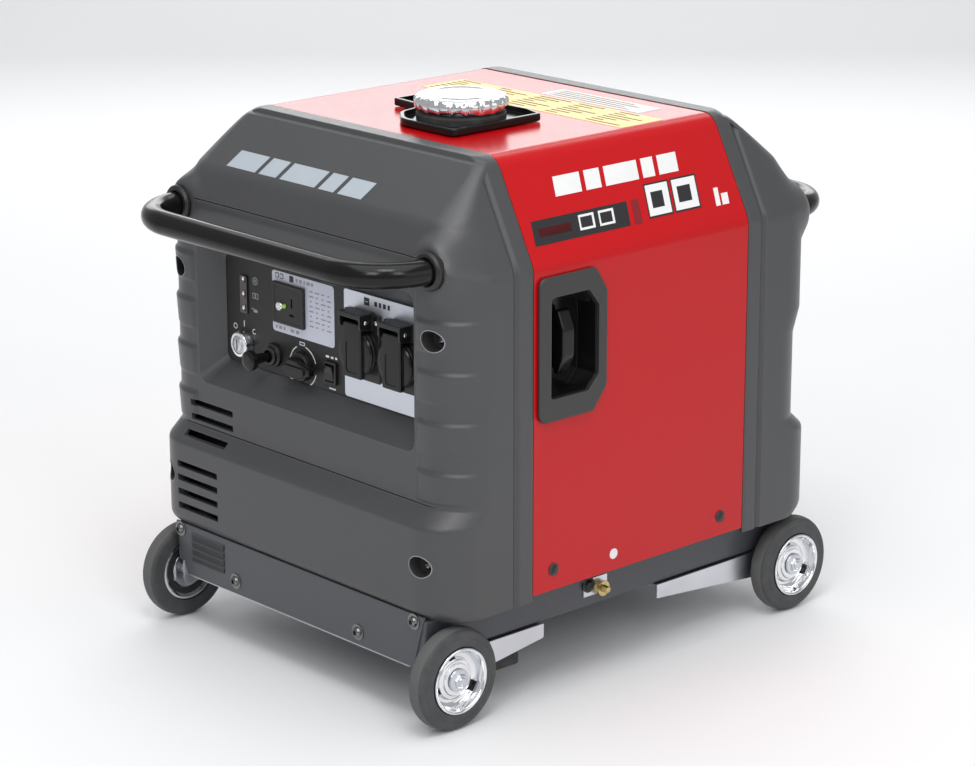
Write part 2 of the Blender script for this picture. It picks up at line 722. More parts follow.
def makeFrontCovers():
    cover = coverSolid("frontCover", -1, 0.0, handle["frontZ"], True)
    x, low, high, gap = housing["surroundX"], housing["partingLow"], housing["partingHigh"], housing["gap"]
    middle = cut(copyOf(cover, "surround"), [block("surroundRoom", (-x + 0.0001, -0.30, low + gap),
                                                   (x - 0.0001, -0.19, high - gap))], "INTERSECT")
    panelLow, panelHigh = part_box("control_panel")
    mouth = (-x + 0.0020, 0.260, x - 0.0020, 0.414)
    floorRect = (panelLow.x + 0.0035, panelLow.z + 0.004, panelHigh.x - 0.0035, panelHigh.z - 0.004)
    grown = tuple(v + g for v, g in zip(mouth, (-0.0012, -0.004, 0.0012, 0.004)))
    grownFloor = tuple(v + g for v, g in zip(floorRect, (-0.003, -0.003, 0.003, 0.003)))
    skirt = wedge("skirt", -0.2390, grown, panelLow.y - 0.0004, grownFloor)
    middle = cut(middle, [skirt], "UNION")
    hollow = slabLoft("hollow", (-0.2406, mouth, 0.012), (panelLow.y + 0.0004, floorRect, 0.007))
    middle = cut(middle, [hollow])
    topVents = [pill("vent", (-0.1428, z + 0.00325), 0.0656, 0.0064, -0.275, -0.225, "XZ", 0.0012)
                for z in (0.2330, 0.2180)]
    middle = cut(middle, [copyOf(vent, "ventCopy") for vent in topVents])
    piece(middle, "plastic", stands=["front_panel_surround"])

    window = block("window", (-x, -0.30, low), (x, -0.19, high))
    lowVents = [pill("vent", (-0.1480, z + 0.0035), 0.0648, 0.0066, -0.285, -0.235, "XZ", 0.0012)
                for z in (0.1266, 0.1413, 0.1560, 0.1705)]
    thirdVent = pill("vent", (-0.1440, 0.2052), 0.0656, 0.0058, -0.285, -0.232, "XZ", 0.0012)
    spots = wellSpots(housing["faceY"])
    bores = [wellBore(spot, -1) for spot in spots]
    holes = [rod("hole", (sign * handle["x"], -housing["faceY"], handle["frontZ"]), handle["radius"] + 0.0006, 0.08,
                 (0, 1, 0), 40) for sign in (-1, 1)]
    seams = [block("seam", (min(sign * 0.160, sign * 0.200), -0.2450, low), (max(sign * 0.160, sign * 0.200), -0.2384,
                                                                            low + 0.0009)) for sign in (-1, 1)]
    cover = cut(cover, [window] + topVents + lowVents + [thirdVent] + bores + holes + seams)
    piece(cover, "plastic", stands=["front_cover"])
    for index, spot in enumerate(spots):
        wellLiner(f"frontWell{index}", spot, -1, handle["frontZ"], True)
    shade = block("ventShade", (-0.198, -0.2300, 0.109), (-0.095, -0.2280, 0.250))
    piece(shade, "ink")


# loft between two rounded rectangles given as (y, (x0, z0, x1, z1), corner radius)
def slabLoft(name, first, second):
    loops = []
    for y, (x0, z0, x1, z1), radius in (first, second):
        outline = rounded([(x0, z0, radius), (x1, z0, radius), (x1, z1, radius), (x0, z1, radius)], 6)
        loops.append([(u, y, v) for u, v in outline])
    work = bmesh.new()
    rows = [[work.verts.new(point) for point in loop] for loop in loops]
    work.faces.new(rows[0])
    work.faces.new(rows[1])
    count = len(rows[0])
    for k in range(count):
        after = (k + 1) % count
        work.faces.new((rows[0][k], rows[0][after], rows[1][after], rows[1][k]))
    return meshOf(name, work)


def makeRearCovers():
    cover = coverSolid("rearCover", 1, housing["bulge"], handle["rearZ"], False)
    low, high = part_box("rear_grille")
    face = housing["faceY"] + housing["bulge"]
    window = block("rearWindow", (low.x - 0.0004, 0.19, low.z - 0.0004), (high.x + 0.0004, 0.30, high.z + 0.0004))
    spots = wellSpots(face)
    bores = [wellBore(spot, 1) for spot in spots]
    holes = [rod("hole", (sign * handle["x"], face, handle["rearZ"]), handle["radius"] + 0.0006, 0.08,
                 (0, 1, 0), 40) for sign in (-1, 1)]
    source = copyOf(cover, "grille")
    cover = cut(cover, [window] + bores + holes)
    piece(cover, "plastic", stands=["rear_cover"])
    for index, spot in enumerate(spots):
        wellLiner(f"rearWell{index}", spot, 1, handle["rearZ"], False)
    grille = cut(source, [block("grilleRoom", (low.x, 0.19, low.z), (high.x, 0.30, high.z))], "INTERSECT")
    bars = [pill("louvre", (0.0, low.z + 0.0171 + 0.0185 * row), 0.230, 0.0090, 0.22, 0.27, "XZ", 0.003)
            for row in range(8)]
    outlet = rod("outlet", (-0.070, 0.245, 0.330), 0.0200, 0.06, (0, 1, 0), 48)
    boss = turned("boss", [(0.0, 0.0030), (0.0235, 0.0030), (0.0250, 0.0010), (0.0250, -0.0050), (0.0, -0.0050)],
                  (-0.070, face - 0.003, 0.330), (0, 1, 0), 48)
    grille = cut(grille, bars)
    grille = cut(grille, [boss], "UNION")
    grille = cut(grille, [outlet])
    piece(grille, "satinBlack", stands=["rear_grille"])


pocket = {
    "outline": [(-0.1405, 0.2805, 0.010), (-0.0700, 0.2805, 0.006), (-0.0525, 0.3030, 0.008),
                (-0.0525, 0.3960, 0.008), (-0.0680, 0.4200, 0.006), (-0.1405, 0.4200, 0.008)],
    "mouth": [(-0.1260, 0.3020, 0.004), (-0.0770, 0.3020, 0.003), (-0.0637, 0.3160, 0.003),
              (-0.0637, 0.3830, 0.003), (-0.0770, 0.4000, 0.003), (-0.1260, 0.4000, 0.004)],
    "depth": 0.0255, "proud": 0.0035,
}
shell = {"inset": 0.0007, "sheet": 0.0018, "serviceY": 0.118, "serviceZ": (0.136, 0.412)}


def makeShell():
    corners = hoopCorners()
    corners = [(u, housing["shellZ"] if v < 0.2 else v, r) for u, v, r in corners]
    outer = rounded(inset(corners, shell["inset"]), 16)
    inner = rounded(inset(corners, shell["inset"] + shell["sheet"]), 16)
    inner = [Vector((u, v - 0.01)) if v < 0.2 else Vector((u, v)) for u, v in inner]
    end = housing["seamY"] - housing["gap"]
    made = slab("bodyShell", outer, -end, end, "XZ")
    core = slab("shellCore", inner, -0.2, 0.2, "XZ")
    made = cut(made, [core])
    fillerLow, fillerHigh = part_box("filler_seal")
    middle = (fillerLow + fillerHigh) / 2
    holes = [slab("pocketHole", rounded(inset(pocket["outline"], 0.006), 4), 0.20, 0.24, "YZ"),
             rod("fillerHole", (middle.x, middle.y, housing["roofZ"]), 0.034, 0.03, (0, 0, 1), 48),
             block("serviceHole", (-0.24, -shell["serviceY"], shell["serviceZ"][0]),
                   (-0.20, shell["serviceY"], shell["serviceZ"][1]))]
    made = cut(made, holes)
    piece(made, "redPaint", stands=["body_shell"])

    low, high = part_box("left_service_cover")
    x = low.x + shell["inset"]
    door = pill("serviceDoor", (0.0, sum(shell["serviceZ"]) / 2), 2 * shell["serviceY"] - 0.0016,
                shell["serviceZ"][1] - shell["serviceZ"][0] - 0.0016, x, x + shell["sheet"], "YZ", 0.004)
    lip = block("doorLip", (x + shell["sheet"] + 0.0002, low.y + 0.001, low.z + 0.001),
                (high.x - 0.0002, high.y - 0.001, high.z - 0.001))
    door = merged("serviceDoor", [door, lip])
    piece(door, "redPaint", stands=["left_service_cover"])
    pull = pill("doorPull", (0.0, 0.386), 0.060, 0.020, x - 0.0006, x + 0.0008, "YZ", 0.006)
    piece(pull, "satinBlack")
    for y, z in ((-0.100, 0.150), (0.100, 0.150)):
        piece(screwHead("doorScrew", (x, y, z), (-1, 0, 0), 0.0050, 0.0020, "cross", 0.0068), "satinBlack")


def makeStarter():
    low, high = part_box("starter_bezel")
    face = high.x
    back = housing["halfWidth"] - 0.0004
    frameRing = slab("starterFrame", rounded(pocket["outline"], 8), back, face, "YZ", 0.0016, 3)
    outside = rounded(inset(pocket["mouth"], -0.0025), 5)
    bucket = slab("bucket", outside, low.x, face - 0.0012, "YZ")
    hollow = slab("hollow", rounded(pocket["mouth"], 5), low.x + 0.0025, face + 0.02, "YZ")
    gripLow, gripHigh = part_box("starter_grip")
    ropeY, ropeZ = (gripLow.y + gripHigh.y) / 2, (gripLow.z + gripHigh.z) / 2
    ropeHole = rod("ropeHole", (low.x, ropeY, ropeZ), 0.0035, 0.03, (1, 0, 0), 24)
    frameRing = cut(frameRing, [bucket], "UNION")
    frameRing = cut(frameRing, [hollow, ropeHole])
    piece(frameRing, "frame", stands=["starter_bezel"])
    lining = rounded(inset(pocket["mouth"], 0.0002), 5)
    inside = rounded(inset(pocket["mouth"], 0.0012), 5)
    sleeve = cut(slab("pocketLining", lining, low.x + 0.0026, face - 0.0040, "YZ"),
                 [slab("liningHollow", inside, low.x + 0.0034, face + 0.01, "YZ"),
                  rod("ropeHole", (low.x, ropeY, ropeZ), 0.0035, 0.03, (1, 0, 0), 24)])
    piece(sleeve, "glossBlack")

    half = (gripHigh.z - gripLow.z) / 2
    inner = gripLow.x + 0.006
    outline = rounded([(inner, ropeZ - half, 0.003), (inner + 0.0068, ropeZ - half, 0.0035),
                       (gripHigh.x, ropeZ - 0.013, 0.014), (gripHigh.x, ropeZ + 0.013, 0.014),
                       (inner + 0.0068, ropeZ + half, 0.0035), (inner, ropeZ + half, 0.003)], 6)
    grip = slab("starterGrip", outline, gripLow.y, gripHigh.y, "XZ", 0.0022, 3)
    neck = turned("gripNeck", [(0.0, 0.0070), (0.0052, 0.0070), (0.0058, 0.0), (0.0, 0.0)],
                  (gripLow.x, ropeY, ropeZ), (1, 0, 0), 32)
    grip = merged("starterGrip", [grip, neck])
    piece(grip, "glossBlack", "starter", ["starter_grip"])

    ropeLow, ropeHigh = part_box("starter_rope")
    count = 60
    points = [(ropeLow.x + (ropeHigh.x - ropeLow.x) * k / count, ropeY, ropeZ) for k in range(count + 1)]
    rope = pipe("starterRope", points, 0.0019, resolution=4)
    piece(rope, "cord", None, ["starter_rope"])
    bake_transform(rope)


def makeHandles():
    for name, side, z in (("front_handle", -1, handle["frontZ"]), ("rear_handle", 1, handle["rearZ"])):
        bulge = housing["bulge"] if side > 0 else 0.0
        bendY = housing["faceY"] + 0.002 + bulge
        bend = handle["reach"] - bendY
        half = [(handle["x"], side * handle["root"], z)]
        for step in range(17):
            angle = math.radians(90) * step / 16
            half.append((handle["x"] - bend * (1 - math.cos(angle)), side * (bendY + bend * math.sin(angle)), z))
        route = half + [(-x, y, h) for x, y, h in reversed(half)]
        bar = pipe(name + "Bar", route, handle["radius"] - 0.0001, resolution=10)
        piece(bar, "handlePaint", stands=[name])
        for sign in (-1, 1):
            ring = turned(name + "Collar", [(handle["radius"] + 0.0006, 0.0058), (0.0142, 0.0066), (0.0166, 0.0060),
                                            (handle["collarRadius"], 0.0040), (handle["collarRadius"], -0.0040),
                                            (handle["radius"] + 0.0006, -0.0040)],
                          (sign * handle["x"], side * (housing["faceY"] + bulge), z), (0, side, 0), 56, ring=True)
            piece(ring, "satinBlack")


base = {"flangeDepth": 0.0015, "narrow": 0.016, "louvreZ": 0.0750, "louvrePitch": 0.0078}


def makeBase():
    low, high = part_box("base_pan")
    x, end = high.x, high.y - base["flangeDepth"]
    floorZ = 0.067
    tray = block("basePan", (-x, -end, floorZ), (x, end, high.z - 0.0002), 0.003)
    hollow = block("panHollow", (-x + 0.003, -end + 0.003, floorZ + 0.0025), (x - 0.003, end - 0.003, 0.13))
    louvres = [pill("louvre", (-0.137, base["louvreZ"] + base["louvrePitch"] * row), 0.052, 0.0042, -0.27, -0.235,
                    "XZ", 0.001) for row in range(4)]
    tray = cut(tray, [hollow] + [copyOf(louvre, "louvreCopy") for louvre in louvres])
    narrow = x - base["narrow"]
    outline = rounded([(-narrow, low.z, 0.003), (narrow, low.z, 0.003), (x, 0.1100, 0.0), (-x, 0.1100, 0.0)], 4)
    for side in (-1, 1):
        flange = slab("flange", outline, side * end - 0.0015, side * end + 0.0015, "XZ", 0.0008)
        if side < 0:
            flange = cut(flange, louvres)
        fold = block("fold", (-narrow + 0.004, min(side * end, side * (end - 0.010)), low.z),
                     (narrow - 0.004, max(side * end, side * (end - 0.010)), low.z + 0.0022), 0.0008)
        tray = merged("basePan", [tray, flange, fold])
    piece(tray, "basePaint", stands=["base_pan"])
    for row in range(4):
        z = base["louvreZ"] + base["louvrePitch"] * row
        slot = pill("louvreSlot", (-0.137, z + 0.0004), 0.052, 0.0050, -0.2549, -0.2530, "XZ", 0.001)
        piece(slot, "ink")
    for side in (-1, 1):
        strip = block("flangeEdge", (-narrow + 0.005, min(side * (end - 0.001), side * (end + 0.0018)), low.z - 0.0002),
                      (narrow - 0.005, max(side * (end - 0.001), side * (end + 0.0018)), low.z + 0.0009), 0.0003)
        piece(strip, "zinc")
    for row in range(4):
        z = base["louvreZ"] + base["louvrePitch"] * row
        hood = slab("louvreHood", [(-end - 0.0034, z + 0.0034), (-end - 0.0008, z + 0.0058),
                                   (-end - 0.0008, z + 0.0046), (-end - 0.0028, z + 0.0028)], -0.163, -0.111, "YZ")
        piece(hood, "basePaint")
    piece(block("louvreShade", (-0.166, -end + 0.0032, 0.072), (-0.108, -end + 0.0042, 0.104)), "ink")
    for boltX, boltZ in ((-0.182, 0.103), (-0.093, 0.0700), (0.0946, 0.0694), (0.1756, 0.1030)):
        for side in (-1, 1):
            bolt = screwHead("flangeBolt", (boltX, side * (end + 0.0016), boltZ), (0, side, 0), 0.0052, 0.0044,
                             "socket", 0.0080)
            piece(bolt, "bolt")


wheel = {"width": 0.019, "rim": 0.0325, "steps": 72, "lip": 0.0036}


def makeWheels():
    half = wheel["width"] / 2
    for end, endName in ((-1, "front"), (1, "rear")):
        for sign, sideName in ((-1, "left"), (1, "right")):
            label = f"{endName}_{sideName}"
            body = label + "_wheel"
            low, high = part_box(label + "_tyre")
            centre = (low + high) / 2
            out = (sign, 0, 0)
            rim = wheel["rim"]
            tyre = turned(label + "Tyre", [
                (rim + 0.0006, half + 0.0014), (rim + 0.0022, half + 0.0016), (0.0400, half + 0.0008),
                (0.0408, half), (0.0418, half + 0.0004), (0.0462, half - 0.0006), (0.0476, half - 0.0014),
                (0.0486, half - 0.0030), (0.0494, half - 0.0052), (0.0499, 0.0), (0.0494, -half + 0.0052),
                (0.0486, -half + 0.0030), (0.0470, -half + 0.0012), (0.0440, -half), (rim + 0.0006, -half)],
                centre, out, wheel["steps"], ring=True)
            piece(tyre, "tyre", body, [label + "_tyre"], 50.0)
            tyre.data.materials.append(looks["tread"])
            for face in tyre.data.polygons:
                middle = face.center - centre
                face.material_index = 1 if math.hypot(middle.y, middle.z) > 0.0488 else 0
            edge = half + wheel["lip"]
            disc = turned(label + "Rim", [
                (0.0066, 0.0072), (0.0150, 0.0070), (0.0158, 0.0064), (0.0162, 0.0050), (0.0190, 0.0046),
                (0.0200, 0.0038), (0.0205, 0.0008), (0.0212, 0.0), (0.0240, 0.0002), (0.0262, 0.0014),
                (0.0280, 0.0046), (0.0288, edge - 0.0020), (0.0298, edge - 0.0004), (0.0310, edge),
                (0.0322, edge - 0.0006), (0.0324, edge - 0.0024), (0.0324, -half + 0.0016),
                (0.0300, -half + 0.0010), (0.0262, -half + 0.0040), (0.0200, -0.0036), (0.0190, -0.0062),
                (0.0066, -0.0062)], centre, out, wheel["steps"], ring=True)
            notches = []
            for turnBy in (90, 210, 330):
                angle = math.radians(turnBy)
                corners = [(u, v, 0.0030) for u, v in ((-0.0052, 0.0212), (0.0052, 0.0212))]
                corners += [(u, v, 0.0008) for u, v in ((0.0052, 0.0278), (-0.0052, 0.0278))]
                outline = [(centre.y + v * math.cos(angle) - u * math.sin(angle),
                            centre.z + v * math.sin(angle) + u * math.cos(angle)) for u, v in rounded(corners, 5)]
                notches.append(slab("notch", outline, centre.x - 0.03, centre.x + 0.03, "YZ"))
            disc = cut(disc, notches)
            piece(disc, "chrome", body, [label + "_rim"], 40.0)
            backing = turned(label + "RimBack", [(0.0204, -0.0050), (0.0290, -0.0050), (0.0290, -0.0060),
                                                 (0.0204, -0.0060)], centre, out, 48, ring=True)
            piece(backing, "ink", body)
            axle = turned(label + "Axle", [(0.0, 0.0146), (0.0034, 0.0146), (0.0042, 0.0138), (0.0042, 0.0110),
                                           (0.0102, 0.0106), (0.0112, 0.0098), (0.0114, 0.0078), (0.0060, 0.0076),
                                           (0.0060, -0.0215), (0.0, -0.0215)], centre, out, 40)
            nut = turned(label + "Nut", [(0.0, 0.0132), (0.0062, 0.0132), (0.0074, 0.0122), (0.0074, 0.0090),
                                         (0.0, 0.0090)], centre, out, 6)
            axle = merged(label + "Axle", [axle, nut])
            piece(axle, "zinc", stands=[label + "_axle"])
            piecesOfBracket(label, sign, end, centre)


def piecesOfBracket(label, sign, end, centre):
    low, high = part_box(label + "_wheel_bracket")
    legX = high.x - 0.0015 if sign > 0 else low.x + 0.0015
    inner = low.y if end > 0 else high.y
    y = centre.y
    outline = rounded([(y + end * 0.0118, 0.0377, 0.004), (y - end * 0.035, 0.0392, 0.03), (inner, 0.0520, 0.002),
                       (inner, high.z, 0.0), (y + end * 0.0118, high.z, 0.003)], 4)
    bar = slab(label + "Bracket", outline, legX - 0.0014, legX + 0.0014, "YZ", 0.0006)
    bore = rod("bore", (legX, y, centre.z), 0.0064, 0.02, (1, 0, 0), 32)
    bar = cut(bar, [bore])
    shelf = block(label + "Shelf", (min(sign * 0.130, legX), min(inner, y - end * 0.020) + 0.001, high.z - 0.0034),
                  (max(sign * 0.130, legX), max(inner, y - end * 0.020) - 0.001, high.z - 0.0006), 0.0006)
    lip = slab(label + "Lip", [(y - end * 0.040, 0.0400), (inner, 0.0520), (inner, 0.0548), (y - end * 0.040, 0.0428)],
               min(legX, legX + sign * 0.0010), max(legX, legX + sign * 0.0010), "YZ", 0.0004)
    bar = merged(label + "Bracket", [bar, shelf, lip])
    piece(bar, "zinc", stands=[label + "_wheel_bracket"])
    if end < 0:
        foot = block(label + "Foot", (legX - 0.020 if sign > 0 else legX + 0.003, -0.172, 0.0315),
                     (legX - 0.003 if sign > 0 else legX + 0.020, -0.131, high.z - 0.0036), 0.003)
        piece(foot, "rubber")


filler = {"scallops": 20, "tab": 0.0032}


def makeFiller():
    low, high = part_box("fuel_cap")
    centre = (low + high) / 2
    radius = (high.x - low.x) / 2
    top, bottom = high.z, low.z
    steps = filler["scallops"] * 8
    profile = [(0.0, 0.0, 0.0), (0.40, 0.0, 0.0), (0.62, -0.0002, 0.0), (0.66, -0.0012, 0.0), (0.72, -0.0012, 0.0),
               (0.76, -0.0003, 0.0), (0.86, -0.0004, 0.25), (0.93, -0.0014, 0.65), (0.975, -0.0036, 1.0),
               (0.990, -0.0065, 1.0), (0.985, -0.0105, 1.0), (0.970, -0.0128, 0.5), (0.940, bottom - top + 0.0004, 0.0),
               (0.70, bottom - top + 0.0004, 0.0), (0.68, -0.0080, 0.0), (0.0, -0.0080, 0.0)]
    work = bmesh.new()
    loops = []
    for share, drop, wave in profile:
        if share == 0.0:
            loops.append([work.verts.new((centre.x, centre.y, top + drop))])
            continue
        loop = []
        for k in range(steps):
            angle = 2 * math.pi * k / steps
            bite = 0.045 * wave * max(0.0, math.cos(filler["scallops"] * angle)) ** 2
            reach = radius * (share - bite)
            loop.append(work.verts.new((centre.x + reach * math.cos(angle), centre.y + reach * math.sin(angle),
                                        top + drop)))
        loops.append(loop)
    for first, second in zip(loops, loops[1:]):
        for k in range(steps):
            after = (k + 1) % steps
            corners = [first[k % len(first)], second[k % len(second)], second[after % len(second)],
                       first[after % len(first)]]
            corners = [v for i, v in enumerate(corners) if v not in corners[:i]]
            work.faces.new(corners)
    piece(meshOf("fillerCap", work), "chrome", "cap", ["fuel_cap"], 50.0)

    sealLow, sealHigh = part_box("filler_seal")
    seal = turned("fillerSeal", [(0.0312, sealHigh.z), (0.0415, sealHigh.z), (0.0438, sealHigh.z - 0.0030),
                                 (0.0438, sealLow.z + 0.0010), (0.0400, sealLow.z), (0.0312, sealLow.z)],
                  (centre.x, centre.y, 0.0), (0, 0, 1), 72, ring=True)
    piece(seal, "rubber", "cap_seal", ["filler_seal"])

    trayLow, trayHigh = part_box("filler_tray")
    corner = 0.004
    outline = [(trayHigh.x, trayLow.y, 0.006), (trayHigh.x, -0.0060, 0.006), (0.0600, trayHigh.y, corner),
               (0.0000, 0.0000, 0.014), (-0.0200, -0.0260, 0.008), (trayLow.x, -0.0290, corner),
               (trayLow.x, -0.0600, corner), (-0.0240, -0.0640, 0.008), (-0.0160, -0.1000, 0.020),
               (0.0100, trayLow.y, 0.030)]
    tray = slab("fillerTray", rounded(outline, 6), trayLow.z, trayHigh.z, "XY", 0.0016, 3)
    floorCut = slab("trayFloor", rounded(inset(outline, 0.0042), 6), trayLow.z + 0.0022, 0.6, "XY")
    hole = rod("trayHole", (centre.x, centre.y, trayLow.z), 0.0300, 0.04, (0, 0, 1), 64)
    tray = cut(tray, [floorCut, hole])
    collar = turned("trayCollar", [(0.0302, 0.0022), (0.0452, 0.0022), (0.0470, 0.0012), (0.0476, -0.0008),
                                   (0.0302, -0.0008)], (centre.x, centre.y, trayLow.z + 0.0020), (0, 0, 1), 64,
                    ring=True)
    tray = merged("fillerTray", [tray, collar])
    piece(tray, "glossBlack", stands=["filler_tray"])


# thin printed mark on a wall that faces -Y
def mark(name, centre, width, height, look, y, radius=0.0004, thick=0.00016):
    made = pill(name, centre, width, height, y - thick, y + 0.0002, "XZ", min(radius, width * 0.49, height * 0.49))
    return piece(made, look)


def ringMark(name, centre, radius, width, look, y, fromAngle=0.0, toAngle=360.0):
    steps = max(8, int(abs(toAngle - fromAngle) / 9))
    angles = [math.radians(fromAngle + (toAngle - fromAngle) * k / steps) for k in range(steps + 1)]
    work = bmesh.new()
    rows = []
    for angle in angles:
        row = []
        for reach, depth in ((radius - width, 0.0), (radius, 0.0), (radius, 0.00016), (radius - width, 0.00016)):
            row.append(work.verts.new((centre[0] + reach * math.cos(angle), y - depth,
                                       centre[1] + reach * math.sin(angle))))
        rows.append(row)
    for first, second in zip(rows, rows[1:]):
        for k in range(4):
            work.faces.new((first[k], first[(k + 1) % 4], second[(k + 1) % 4], second[k]))
    if abs(toAngle - fromAngle) < 360.0:
        work.faces.new(rows[0])
        work.faces.new(rows[-1])
    bmesh.ops.remove_doubles(work, verts=work.verts, dist=0.000001)
    return piece(meshOf(name, work), look)


controls = {
    "lampIcons": (-0.1000, (0.3705, 0.3555, 0.3410)),
    "directLabel": (-0.0728, 0.3270, 0.0207, 0.3880),
    "textRows": 8,
    "valveArc": 0.0205,
}


def makePanelPlate():
    low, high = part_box("control_panel")
    face = low.y
    plate = block("controlPanel", low, high, 0.0008)
    chokeLow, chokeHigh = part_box("choke_collar")
    choke = (chokeLow + chokeHigh) / 2
    plate = cut(plate, [rod("stemHole", (choke.x, low.y, choke.z), 0.0050, 0.02, (0, 1, 0))])
    piece(plate, "panelBlack", stands=["control_panel"])

    x0, z0, x1, z1 = controls["directLabel"]
    piece(pill("directLabel", ((x0 + x1) / 2, (z0 + z1) / 2), x1 - x0, z1 - z0, face - 0.0003, face + 0.0003, "XZ",
               0.0035), "label")
    front = face - 0.0003
    mark("labelFrame", (-0.0650, 0.3836), 0.0052, 0.0052, "ink", front, 0.0008)
    mark("labelFrameIn", (-0.0650, 0.3836), 0.0036, 0.0036, "label", front - 0.0001, 0.0006)
    mark("labelFrame", (-0.0580, 0.3836), 0.0052, 0.0052, "ink", front, 0.0008)
    mark("labelFrameIn", (-0.0580, 0.3836), 0.0036, 0.0036, "label", front - 0.0001, 0.0006)
    mark("labelSquare", (-0.0430, 0.3835), 0.0062, 0.0062, "ink", front)
    for step, width in enumerate((0.0030, 0.0042, 0.0022, 0.0050, 0.0030)):
        mark("labelBar", (-0.0350 + step * 0.0058, 0.3835), width, 0.0032, "grey", front, 0.0002)
    for row in range(controls["textRows"]):
        z = 0.3765 - row * 0.0049
        for step in range(4):
            width = 0.0046 + 0.0022 * math.sin(row * 2.1 + step * 1.7)
            mark("labelText", (-0.0145 + step * 0.0088 + width * 0.2, z), width, 0.0013, "grey", front, 0.0002)
    for x, width in ((-0.0670, 0.0026), (-0.0610, 0.0042), (-0.0550, 0.0024), (-0.0430, 0.0050), (-0.0350, 0.0046)):
        mark("labelSign", (x, 0.3316), width, 0.0030, "grey", front, 0.0006)
    mark("yellowMark", (-0.0425, 0.3912), 0.0215, 0.0024, "yellow", face, 0.0002)

    x, heights = controls["lampIcons"]
    ringMark("iconRing", (x, heights[0]), 0.0040, 0.0009, "grey", face)
    ringMark("iconRingIn", (x, heights[0]), 0.0016, 0.0008, "grey", face)
    for dx in (-0.0023, 0.0023):
        mark("iconBook", (x + dx, heights[1]), 0.0042, 0.0058, "grey", face)
        mark("iconBookIn", (x + dx, heights[1]), 0.0026, 0.0042, "panelBlack", face - 0.0001)
    mark("iconCan", (x, heights[2] - 0.0008), 0.0062, 0.0030, "grey", face, 0.0012)
    mark("iconSpout", (x - 0.0045, heights[2] + 0.0010), 0.0040, 0.0010, "grey", face)


def makeLamps():
    low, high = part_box("indicator_unit")
    body = pill("lampStrip", ((low.x + high.x) / 2, (low.z + high.z) / 2), high.x - low.x, high.z - low.z, low.y,
                high.y, "XZ", 0.0014, 0.0005)
    piece(body, "lens", stands=["indicator_unit"])
    for z in controls["lampIcons"][1]:
        dome = turned("lampDome", [(0.0, 0.0011), (0.0014, 0.0009), (0.0022, 0.0004), (0.0024, -0.0003),
                                   (0.0, -0.0003)], ((low.x + high.x) / 2, low.y, z), (0, -1, 0), 24)
        piece(dome, "chrome")
        shadeMark = pill("lampSlot", ((low.x + high.x) / 2 + 0.0032, z), 0.0016, 0.0080, low.y - 0.0002,
                         low.y + 0.0002, "XZ", 0.0006)
        piece(shadeMark, "ink")


def makeSwitch():
    low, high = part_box("engine_switch")
    centre = Vector(((low.x + high.x) / 2, high.y, (low.z + high.z) / 2))
    ring = turned("engineSwitch", [(0.0092, 0.0088), (0.0104, 0.0090), (0.0122, 0.0086), (0.0130, 0.0074),
                                   (0.0130, 0.0050), (0.0135, 0.0042), (0.0135, 0.0), (0.0092, 0.0)],
                  centre, (0, -1, 0), 64, ring=True)
    piece(ring, "chrome", stands=["engine_switch"])
    keyLow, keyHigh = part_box("ignition_key_barrel")
    barrel = turned("keyBarrel", [(0.0, 0.0104), (0.0050, 0.0104), (0.0066, 0.0098), (0.0070, 0.0086),
                                  (0.0086, 0.0084), (0.0086, 0.0006), (0.0, 0.0006)], centre, (0, -1, 0), 48)
    keyway = block("keyway", (centre.x - 0.0010, keyLow.y - 0.002, centre.z - 0.0052),
                   (centre.x + 0.0010, keyLow.y + 0.0045, centre.z + 0.0052))
    barrel = cut(barrel, [keyway])
    piece(barrel, "zinc", "key", ["ignition_key_barrel"])
    face = high.y + 0.0004
    ringMark("offMark", (centre.x - 0.0150, centre.z + 0.0150), 0.0030, 0.0008, "white", face)
    mark("runMark", (centre.x - 0.0010, centre.z + 0.0200), 0.0010, 0.0062, "white", face)
    ringMark("startMark", (centre.x + 0.0148, centre.z + 0.0146), 0.0028, 0.0008, "white", face, 60.0, 330.0)


def makeChoke():
    low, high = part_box("choke_collar")
    centre = Vector(((low.x + high.x) / 2, high.y, (low.z + high.z) / 2))
    collar = turned("chokeCollar", [(0.0064, 0.0085), (0.0082, 0.0085), (0.0094, 0.0076), (0.0096, 0.0040),
                                    (0.0114, 0.0034), (0.0120, 0.0024), (0.0120, 0.0), (0.0064, 0.0)],
                    centre, (0, -1, 0), 56, ring=True)
    piece(collar, "satinBlack", stands=["choke_collar"])
    knob = turned("chokeKnob", [(0.0, 0.0340), (0.0050, 0.0344), (0.0082, 0.0340), (0.0096, 0.0330), (0.0100, 0.0316),
                                (0.0100, 0.0284), (0.0094, 0.0270), (0.0074, 0.0252), (0.0058, 0.0242),
                                (0.0052, 0.0200), (0.0048, 0.0150), (0.0042, 0.0120), (0.0042, -0.0098),
                                (0.0, -0.0098)], centre, (0, -1, 0), 56)
    for turnBy in range(0, 360, 30):
        angle = math.radians(turnBy)
        bite = rod("knobBite", (centre.x + 0.0108 * math.cos(angle), centre.y - 0.0300,
                                centre.z + 0.0108 * math.sin(angle)), 0.0012, 0.0060, (0, 1, 0), 10)
        knob = cut(knob, [bite])
    piece(knob, "glossBlack", "choke", ["choke_knob"])


